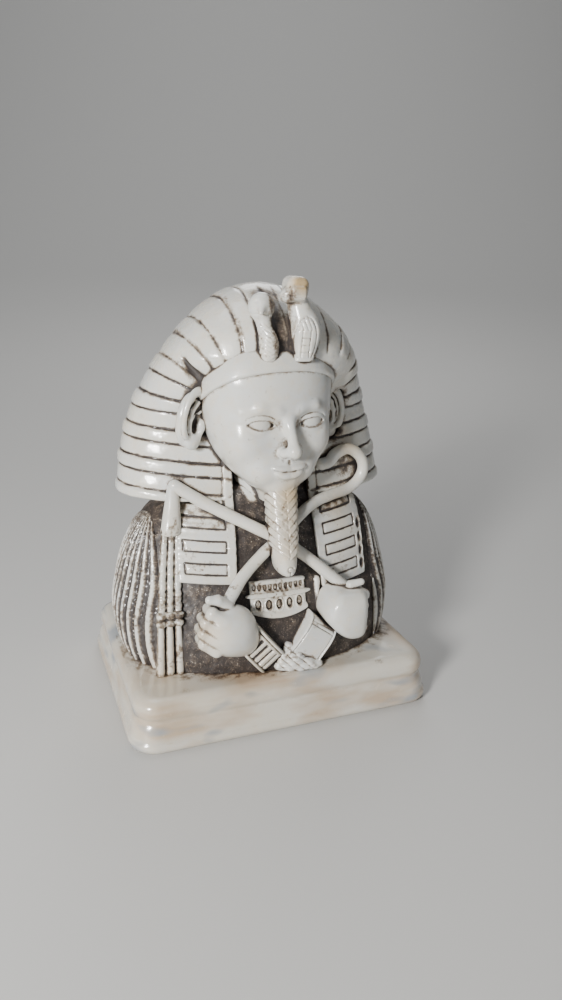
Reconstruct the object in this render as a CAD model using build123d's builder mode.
"""Desk bust of a pharaoh: striped headdress, plaited beard, crossed fists with crook and flail, stepped plinth.

Frame: millimetres, +Z up, the figure looks along -Y, and its own left side is +X.
The origin is on the table under the centre of the plinth, at the underside of the felt pad.
"""

import os
from math import cos, radians, sin

from build123d import *

os.makedirs("parts", exist_ok=True)

# Plinth and felt
PLINTH_WIDTH = 100.0
PLINTH_DEPTH = 77.2
CORNER_R = 8.0
FELT_PROUD = 0.6  # the felt lifts the plinth off the table by this much
FELT_THICK = 1.4
FELT_MARGIN = 6.0  # from the plinth's edge to the felt's edge
FELT_GAP = 0.3  # round the felt, in its recess
FOOT_TOP = 3.0
WAIST_HEIGHT = 9.4
WAIST_INSET = 2.7
SLAB_INSET = 1.6
PLINTH_TOP = 17.2

# Bodies built up from ellipses: (height, half width, front, back)
CHEST = [
    (PLINTH_TOP, 44.0, -29.5, 26.0),
    (24.0, 46.4, -28.6, 28.0),
    (31.0, 47.2, -26.6, 28.5),
    (43.0, 45.2, -22.0, 27.5),
    (55.0, 41.0, -18.0, 25.0),
    (62.0, 36.0, -15.0, 23.0),
    (67.0, 28.0, -13.0, 20.0),
]
HOOD = [
    (67.0, 44.8, -12.2, 22.0),
    (78.6, 43.2, -9.5, 25.0),
    (91.0, 40.0, -8.0, 27.0),
    (103.6, 35.5, -14.0, 27.5),
    (112.6, 32.0, -21.0, 27.0),
    (118.0, 28.0, -20.0, 24.5),
    (124.0, 21.5, -15.5, 21.0),
    (128.5, 14.0, -9.5, 16.5),
    (131.0, 6.5, -2.0, 10.0),
    (132.0, 2.5, 1.0, 7.0),
]
HEAD = [
    (72.2, 5.5, -22.0, -12.0),
    (75.0, 9.5, -23.2, -6.0),
    (79.0, 13.5, -23.8, 0.0),
    (84.0, 16.8, -24.2, 4.0),
    (90.0, 19.0, -24.5, 6.0),
    (97.0, 20.0, -24.6, 8.0),
    (104.0, 19.8, -24.4, 8.0),
    (110.0, 18.6, -22.8, 7.0),
    (115.0, 16.4, -20.0, 6.0),
]
SHOULDER_TOP = CHEST[-1][0]
FAR = 60.0  # reaches past the figure on every side

# How far each relief piece stands out of the chest, and how deep it is let in
LAPPET_PROUD = 1.4
SLEEVE_PROUD = 0.6
COLLAR_PROUD = 1.4
LET_IN = 1.2
GROOVE_DEPTH = 0.5

# Crook and flail
SHAFT_R = 1.7
CROOK_POINTS = [
    (-20.4, -29.0, 39.5),
    (-6.1, -20.6, 52.1),
    (7.2, -18.8, 64.2),
    (20.9, -12.5, 67.2),
    (31.6, -8.6, 68.6),
    (35.0, -8.2, 76.0),
    (27.6, -8.6, 83.6),
    (21.5, -9.5, 77.4),
    (17.8, -10.0, 77.6),
]
CROOK_BENDS = [30.0, 12.0, 12.0, 4.5, 4.2, 4.2, 2.5]
FLAIL_POINTS = [
    (22.7, -26.0, 37.8),
    (8.7, -22.0, 50.2),
    (-6.0, -21.6, 60.0),
    (-19.0, -14.0, 66.2),
    (-30.6, -8.6, 72.9),
]
FLAIL_BENDS = [30.0, 30.0, 30.0]
STRAND_R = 1.15
STRAND_PITCH = 2.5
STRAND_TOP = 60.0
TIE_TOP = 36.4
TIE_BOTTOM = 32.4

# Head of the figure
EAR_CENTRE = (24.2, -8.0, 92.2)
EAR_HEIGHT = 15.5
EAR_WIDTH = 8.4
EAR_LEAN = 12.0  # degrees, outwards at the top
BAND_PROUD = 1.3
BAND_HEIGHT = 3.1
BAND_LOW_FRONT = (-24.3, 109.6)  # (y, z) of the band's lower edge over the nose
BAND_LOW_SIDE = (-9.0, 99.8)  # and beside the ears

# Animals on the brow: (height, x, half width)
COBRA = [
    (112.6, 6.0, 2.8),
    (117.0, 6.6, 4.2),
    (121.5, 6.0, 4.6),
    (126.0, 3.2, 4.0),
    (130.0, 2.4, 4.2),
    (133.4, 2.6, 3.4),
    (135.0, 2.8, 1.6),
]
VULTURE = [
    (112.6, -5.9, 2.7),
    (118.0, -6.8, 2.9),
    (124.0, -7.8, 3.6),
    (128.0, -8.0, 3.8),
    (130.4, -7.4, 1.8),
]

# Hands
FIST_CENTRE = (19.8, -29.0, 32.6)
PALM = (16.6, 12.6, 18.6)  # across, front to back, high
FINGER_R = 2.1
FINGER_PITCH = 4.1
THUMB_R = 2.4
CUFF_R = 7.4
CUFF_LENGTH = 9.5


def stack(sections, grow=0.0):
    """A closed body lofted through ellipses, grown by the same amount all round."""
    with BuildPart() as body:
        for height, half_width, front, back in sections:
            with BuildSketch(Plane.XY.offset(height)):
                with Locations((0, (front + back) / 2)):
                    Ellipse(half_width + grow, (back - front) / 2 + grow)
        loft(ruled=True)
    return body.part


def shell_piece(outline, proud, back_side=False):
    """A piece of the chest's own curve, cut out by an outline seen from the front or the back."""
    with BuildPart() as piece:
        with BuildSketch(Plane.XZ):
            with BuildLine():
                Polyline(*outline, close=True)
            make_face()
        extrude(amount=-FAR if back_side else FAR)
        add(stack(CHEST, proud), mode=Mode.INTERSECT)
        add(stack(CHEST, -LET_IN), mode=Mode.SUBTRACT)
    return piece.part


def rod(points, bends, radius):
    """A round rod along straight runs joined by arcs."""
    with BuildPart() as made:
        with BuildLine() as path:
            FilletPolyline(*points, radius=bends)
        with BuildSketch(Plane(origin=path.line @ 0, z_dir=path.line % 0)):
            Circle(radius)
        sweep()
    return made.part


def cut_all(pieces):
    """Takes finished pieces out of the one being built, so that they meet face to face."""
    for piece in pieces:
        add(piece, mode=Mode.SUBTRACT)


# ---------------------------------------------------------------- plinth
with BuildPart() as felt_pad:
    with BuildSketch():
        RectangleRounded(PLINTH_WIDTH - 2 * FELT_MARGIN, PLINTH_DEPTH - 2 * FELT_MARGIN, CORNER_R - 3)
    extrude(amount=FELT_THICK)

with BuildPart() as plinth:
    with BuildSketch(Plane.XY.offset(FELT_PROUD)):
        RectangleRounded(PLINTH_WIDTH, PLINTH_DEPTH, CORNER_R)
    extrude(amount=FOOT_TOP - FELT_PROUD)
    chamfer(plinth.faces().sort_by(Axis.Z)[0].edges(), 0.8)
    with BuildSketch(Plane.XY.offset(FOOT_TOP)):
        RectangleRounded(PLINTH_WIDTH - 0.8, PLINTH_DEPTH - 0.8, CORNER_R)
    with BuildSketch(Plane.XY.offset(WAIST_HEIGHT)):
        RectangleRounded(PLINTH_WIDTH - 2 * WAIST_INSET, PLINTH_DEPTH - 2 * WAIST_INSET, CORNER_R)
    loft()
    with BuildSketch(Plane.XY.offset(WAIST_HEIGHT)):
        RectangleRounded(PLINTH_WIDTH - 2 * SLAB_INSET, PLINTH_DEPTH - 2 * SLAB_INSET, CORNER_R)
    extrude(amount=PLINTH_TOP - WAIST_HEIGHT)
    fillet(plinth.faces().sort_by(Axis.Z)[-1].outer_wire().edges(), 3.6)
    slab_bottom = plinth.faces().filter_by(Plane.XY).filter_by_position(
        Axis.Z, WAIST_HEIGHT - 0.1, WAIST_HEIGHT + 0.1
    )
    fillet(slab_bottom[0].outer_wire().edges(), 1.0)
    with BuildSketch(Plane.XY.offset(FELT_PROUD)):
        RectangleRounded(
            PLINTH_WIDTH - 2 * FELT_MARGIN + 2 * FELT_GAP,
            PLINTH_DEPTH - 2 * FELT_MARGIN + 2 * FELT_GAP,
            CORNER_R - 3 + FELT_GAP,
        )
    extrude(amount=FELT_THICK - FELT_PROUD, mode=Mode.SUBTRACT)

# ---------------------------------------------------------------- crook and flail
with BuildPart() as flail_handle:
    add(rod(FLAIL_POINTS, FLAIL_BENDS, SHAFT_R))

with BuildPart() as crook:
    add(rod(CROOK_POINTS, CROOK_BENDS, SHAFT_R))
    with Locations(CROOK_POINTS[-1]):
        Sphere(SHAFT_R)
    cut_all([flail_handle.part])

# The flail's drop hangs from the handle's outer end: a tapered ferrule, three strands, a tie and three pendants.
with BuildPart() as flail_ferrule:
    for height, x, y, across, deep in (
        (74.8, -30.9, -8.4, 1.7, 1.6),
        (70.0, -31.1, -8.8, 2.2, 1.9),
        (STRAND_TOP, -31.7, -10.4, 3.9, 2.3),
    ):
        with BuildSketch(Plane.XY.offset(height)):
            with Locations((x, y)):
                Ellipse(across, deep)
    loft()
    cut_all([flail_handle.part])

with BuildPart() as flail_strands:
    for i in (-1, 0, 1):
        route = [
            (-31.7 + i * STRAND_PITCH, -10.6, STRAND_TOP),
            (-33.2 + i * STRAND_PITCH, -15.0, 46.0),
            (-34.4 + i * STRAND_PITCH, -19.0, TIE_TOP),
        ]
        add(rod(route, [20.0], STRAND_R))
    cut_all([flail_ferrule.part])

with BuildPart() as flail_tie:
    with BuildSketch(Plane.XY.offset(TIE_BOTTOM)):
        with Locations((-34.7, -19.9)):
            RectangleRounded(8.6, 3.4, 1.2)
    with BuildSketch(Plane.XY.offset(TIE_TOP + 0.4)):
        with Locations((-34.4, -19.0)):
            RectangleRounded(8.2, 3.2, 1.2)
    loft()
    cut_all([flail_strands.part])

with BuildPart() as flail_pendants:
    for i in (-1, 0, 1):
        for height, across, y in ((TIE_BOTTOM, 1.1, -20.2), (PLINTH_TOP, 1.5, -21.6)):
            with BuildSketch(Plane.XY.offset(height)):
                with Locations((-34.8 + i * 2.9, y)):
                    Circle(across)
        loft()

# ---------------------------------------------------------------- fists and cuffs


def fist(side, grip):
    """A closed hand: a rounded palm, four stacked fingers wrapped round its front, and a thumb on top."""
    x, y, z = FIST_CENTRE
    with BuildPart() as made:
        with BuildSketch(Plane.XZ.offset(-y - PALM[1] / 2)):
            with Locations((side * x, z)):
                RectangleRounded(PALM[0], PALM[2], 5.5)
        extrude(amount=PALM[1])
        fillet(made.faces().sort_by(Axis.Y)[0].edges(), 3.0)
        for i in range(4):
            knuckle = (side * (x - 2.6), y - PALM[1] / 2 - 0.4, z + 6.2 - FINGER_PITCH * i)
            tip = (side * (x + 5.6 - 0.5 * i), knuckle[1] + 0.8, knuckle[2] + 0.5)
            for end in (knuckle, tip):
                with Locations(end):
                    Sphere(FINGER_R)
            span = Vector(tip) - Vector(knuckle)
            with BuildSketch(Plane(origin=knuckle, z_dir=span)):
                Circle(FINGER_R)
            extrude(amount=span.length)
        with Locations((side * (x + 2.5), y - 1.0, z + 9.6)):
            Sphere(THUMB_R)
        add(grip, mode=Mode.SUBTRACT)
    return made.part


def cuff(centre, slope, length):
    """A bracelet round a wrist that runs down towards the middle of the chest."""
    with BuildPart() as made:
        with Locations(Location(centre, (0, slope, 0))):
            Cylinder(CUFF_R, length)
            for i in (-1, 0, 1):
                with Locations((0, 0, i * length / 3)):
                    Torus(CUFF_R, 0.45)
        with Locations((0, 0, PLINTH_TOP / 2)):
            Box(2 * FAR, 2 * FAR, PLINTH_TOP, mode=Mode.SUBTRACT)
    return made.part


with BuildPart() as fist_right:
    add(fist(-1, crook.part))

with BuildPart() as fist_left:
    add(fist(1, flail_handle.part))

with BuildPart() as cuff_left:
    add(cuff((7.4, -26.4, 25.6), 62, CUFF_LENGTH + 2.0))
    cut_all([fist_left.part, fist_right.part])

with BuildPart() as cuff_right:
    add(cuff((-8.6, -26.0, 25.4), -52, CUFF_LENGTH))
    cut_all([fist_right.part, fist_left.part, cuff_left.part])

# ---------------------------------------------------------------- head
with BuildPart() as head:
    add(stack(HEAD))
    # Nose: a tapered wedge on the centre line, with its wings
    for height, half, front in ((97.2, 1.6, -24.6), (85.4, 3.1, -29.0)):
        with BuildSketch(Plane.XY.offset(height)):
            with Locations((0, front + 4.0)):
                Ellipse(half, 4.0)
    loft()
    with Locations((0, -26.4, 85.4)):
        Sphere(2.3)
    for side in (-1, 1):
        with Locations((side * 2.6, -25.2, 85.2)):
            Sphere(1.7)
        # Eye and brow
        with Locations((side * 7.8, -18.6, 93.8)):
            Sphere(4.4)
        # Half of the mouth
        with Locations(Location((side * 1.9, -24.0, 80.6), (0, 90 + side * 4, 0))):
            Cylinder(1.2, 4.2)
        with Locations(Location((side * 1.6, -23.8, 78.9), (0, 90 - side * 4, 0))):
            Cylinder(1.3, 3.6)

band_tilt = Vector(0, BAND_LOW_SIDE[0] - BAND_LOW_FRONT[0], BAND_LOW_SIDE[1] - BAND_LOW_FRONT[1])
band_plane = Plane(
    origin=(0, BAND_LOW_FRONT[0], BAND_LOW_FRONT[1]),
    x_dir=(1, 0, 0),
    z_dir=Vector(1, 0, 0).cross(band_tilt),
)
with BuildPart() as brow_band:
    with BuildSketch(band_plane):
        with Locations((0, 6)):
            Rectangle(2 * FAR, 26)
    extrude(amount=BAND_HEIGHT)
    add(stack(HEAD, BAND_PROUD), mode=Mode.INTERSECT)
    add(stack(HEAD), mode=Mode.SUBTRACT)


def ear(side):
    """An ear with a rolled rim, turned a little forwards and leaning outwards at the top."""
    x, y, z = EAR_CENTRE
    lean = radians(EAR_LEAN)
    plane = Plane(origin=(side * x, y, z), x_dir=(cos(lean), 0, -side * sin(lean)), z_dir=(0, -1, 0))
    with BuildPart() as made:
        with BuildSketch(plane.offset(-3.0)):
            Ellipse(EAR_WIDTH / 2, EAR_HEIGHT / 2)
        extrude(amount=5.2)
        with BuildSketch(plane.offset(0.6)):
            with Locations((-side * 0.3, 1.4)):
                Ellipse(EAR_WIDTH / 2 - 1.5, EAR_HEIGHT / 2 - 3.4)
        extrude(amount=4.0, mode=Mode.SUBTRACT)
        add(stack(HEAD), mode=Mode.SUBTRACT)
    return made.part


with BuildPart() as ear_left:
    add(ear(1))
    cut_all([brow_band.part])

with BuildPart() as ear_right:
    add(ear(-1))
    cut_all([brow_band.part])


def rearing(sections, front, depth):
    """A small upright animal on the brow, lofted through flat ellipses: (height, x, half width)."""
    with BuildPart() as made:
        for height, x, half_width in sections:
            with BuildSketch(Plane.XY.offset(height)):
                with Locations((x, front + depth / 2)):
                    Ellipse(half_width, depth / 2)
        loft()
        cut_all([brow_band.part, head.part])
    return made.part


with BuildPart() as cobra:
    add(rearing(COBRA, -22.6, 5.0))

with BuildPart() as vulture:
    add(rearing(VULTURE, -22.2, 4.6))

# ---------------------------------------------------------------- beard and neck
with BuildPart() as beard:
    for height, half, front, back in ((73.6, 4.7, -23.0, -15.0), (60.0, 4.3, -26.6, -15.6), (54.0, 4.1, -28.4, -16.6)):
        with BuildSketch(Plane.XY.offset(height)):
            with Locations((0, (front + back) / 2)):
                Ellipse(half, (back - front) / 2)
    loft()
    cut_all([head.part, crook.part, flail_handle.part])

with BuildPart() as beard_tip:
    for height, half, front, back in ((54.0, 4.0, -28.4, -17.0), (50.4, 3.5, -29.4, -18.6), (48.6, 2.4, -28.8, -20.4)):
        with BuildSketch(Plane.XY.offset(height)):
            with Locations((0, (front + back) / 2)):
                Ellipse(half, (back - front) / 2)
    loft()
    cut_all([crook.part, flail_handle.part])

with BuildPart() as neck:
    with BuildSketch(Plane.XY.offset(SHOULDER_TOP)):
        with Locations((0, -5.0)):
            Ellipse(10.4, 8.6)
    extrude(amount=12.0)
    cut_all([head.part, beard.part])

# ---------------------------------------------------------------- collar
COLLAR_OUTLINE = [
    (-8.7, 43.6),
    (8.7, 43.6),
    (11.0, 39.8),
    (9.3, 35.8),
    (5.0, 33.6),
    (0.0, 32.8),
    (-5.0, 33.6),
    (-9.3, 35.8),
    (-11.0, 39.8),
]
SMALL_BEADS = 9
LARGE_BEADS = 5

with BuildPart() as collar_beads:
    for i in range(SMALL_BEADS):
        x = (i - (SMALL_BEADS - 1) / 2) * 1.9
        with Locations((x, -22.9 + 0.02 * x * x, 41.7)):
            Sphere(0.75)
    for i in range(LARGE_BEADS):
        x = (i - (LARGE_BEADS - 1) / 2) * 3.7
        with Locations((x, -24.4 + 0.02 * x * x, 37.2)):
            Sphere(1.25)

with BuildPart() as collar:
    add(shell_piece(COLLAR_OUTLINE, COLLAR_PROUD))
    cut_all([collar_beads.part, beard_tip.part, cuff_left.part, cuff_right.part, crook.part, flail_handle.part])


# ---------------------------------------------------------------- headdress
def lappet(side, bottom, over_it):
    """A striped end of the headcloth, lying on the chest."""
    outline = [
        (side * 12.4, SHOULDER_TOP),
        (side * 31.5, SHOULDER_TOP),
        (side * 31.5, bottom),
        (side * 14.4, bottom),
    ]
    with BuildPart() as grooves:
        for height in range(int(bottom) + 3, int(SHOULDER_TOP) - 1, 3):
            with Locations((side * 24.0, -FAR / 2, height)):
                Box(16.0, FAR, 0.6)
        add(stack(CHEST, LAPPET_PROUD - GROOVE_DEPTH), mode=Mode.SUBTRACT)
    with BuildPart() as made:
        add(shell_piece(outline, LAPPET_PROUD))
        cut_all([grooves.part])
        cut_all(over_it)
    return made.part


with BuildPart() as lappet_right:
    add(lappet(-1, 44.5, [flail_handle.part, crook.part, flail_strands.part, flail_ferrule.part, fist_right.part]))

with BuildPart() as lappet_left:
    add(lappet(1, 40.0, [flail_handle.part, crook.part, fist_left.part]))

with BuildPart() as nemes_queue:
    add(shell_piece([(-6.5, SHOULDER_TOP), (6.5, SHOULDER_TOP), (3.6, 34.0), (-3.6, 34.0)], 2.2, back_side=True))

with BuildPart() as nemes_hood:
    add(stack(HOOD))
    # The throat is open under the jaw, between the lappets.
    with Locations((0, -3.0 - FAR / 2, SHOULDER_TOP + 4.5)):
        Box(2 * 12.4, FAR, 9.0, mode=Mode.SUBTRACT)
    cut_all([head.part, brow_band.part, ear_left.part, ear_right.part, neck.part, beard.part])
    cut_all([cobra.part, vulture.part, crook.part, flail_handle.part, flail_ferrule.part])

# ---------------------------------------------------------------- chest
SLEEVE_FRONT = 35.6  # from the centre line to the sleeve's edge
SLEEVE_TOP = 62.4


def sleeve(side, over_it):
    """The pleated sleeve, a shell on the outside of the upper arm."""
    width = FAR - SLEEVE_FRONT
    with BuildPart() as made:
        with Locations((side * (SLEEVE_FRONT + width / 2), 0, (PLINTH_TOP + SLEEVE_TOP) / 2)):
            Box(width, 2 * FAR, SLEEVE_TOP - PLINTH_TOP)
        add(stack(CHEST, SLEEVE_PROUD), mode=Mode.INTERSECT)
        add(stack(CHEST, -LET_IN), mode=Mode.SUBTRACT)
        cut_all(over_it)
    return made.part


with BuildPart() as sleeve_right:
    add(sleeve(-1, [flail_strands.part, flail_tie.part, flail_pendants.part, flail_ferrule.part]))

with BuildPart() as sleeve_left:
    add(sleeve(1, []))

with BuildPart() as torso:
    add(stack(CHEST))
    cut_all([sleeve_left.part, sleeve_right.part, lappet_left.part, lappet_right.part, nemes_queue.part])
    cut_all([collar.part, collar_beads.part, beard.part, beard_tip.part, crook.part, flail_handle.part])
    cut_all([flail_ferrule.part, flail_strands.part, flail_tie.part, flail_pendants.part])
    cut_all([fist_left.part, fist_right.part, cuff_left.part, cuff_right.part])

NODES = {
    "felt_pad": felt_pad,
    "plinth": plinth,
    "torso": torso,
    "sleeve_left": sleeve_left,
    "sleeve_right": sleeve_right,
    "lappet_left": lappet_left,
    "lappet_right": lappet_right,
    "nemes_hood": nemes_hood,
    "nemes_queue": nemes_queue,
    "brow_band": brow_band,
    "cobra": cobra,
    "vulture": vulture,
    "head": head,
    "ear_left": ear_left,
    "ear_right": ear_right,
    "neck": neck,
    "beard": beard,
    "beard_tip": beard_tip,
    "collar": collar,
    "collar_beads": collar_beads,
    "crook": crook,
    "flail_handle": flail_handle,
    "flail_ferrule": flail_ferrule,
    "flail_strands": flail_strands,
    "flail_tie": flail_tie,
    "flail_pendants": flail_pendants,
    "fist_left": fist_left,
    "fist_right": fist_right,
    "cuff_left": cuff_left,
    "cuff_right": cuff_right,
}
for name, node in NODES.items():
    node.part.label = name
    export_step(node.part, f"parts/{name}.step")
